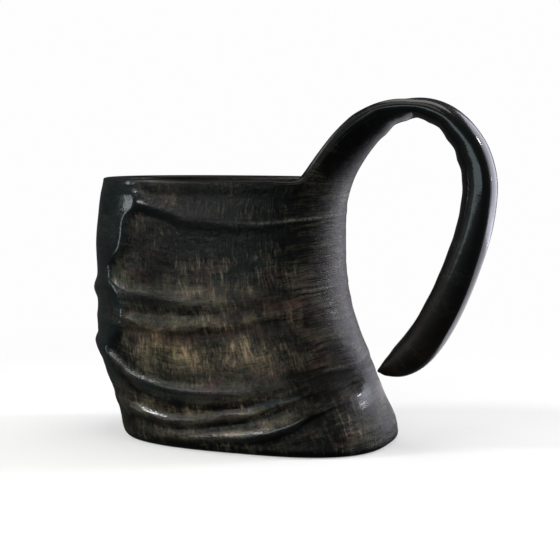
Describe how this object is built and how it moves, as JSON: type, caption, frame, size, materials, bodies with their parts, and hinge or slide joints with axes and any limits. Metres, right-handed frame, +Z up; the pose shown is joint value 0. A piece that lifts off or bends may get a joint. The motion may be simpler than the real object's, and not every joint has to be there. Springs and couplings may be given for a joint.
{
  "type": "horn tankard cup",
  "caption": "Oval drinking cup cut from one ridged dark horn, with a bent horn strip left on the rim as its open handle and a glued base plug.",
  "frame": {"origin": "middle of the flat face that the cup stands on, under the middle of the oval body", "axes": "+Z up out of the open mouth, +X towards the handle, -Y towards the viewer of the main side"},
  "size_m": [0.1916, 0.0907, 0.1561],
  "materials": {
    "polished_horn": "polished natural buffalo horn, near-black with brown and tan fibre streaks",
    "plug_horn": "flat black horn sheet, satin",
    "sealant": "dark resin, glossy"
  },
  "bodies": {
    "root": {"horn_body": "polished_horn", "base_plug": "plug_horn", "seal_bead": "sealant"}
  },
  "joints": []
}
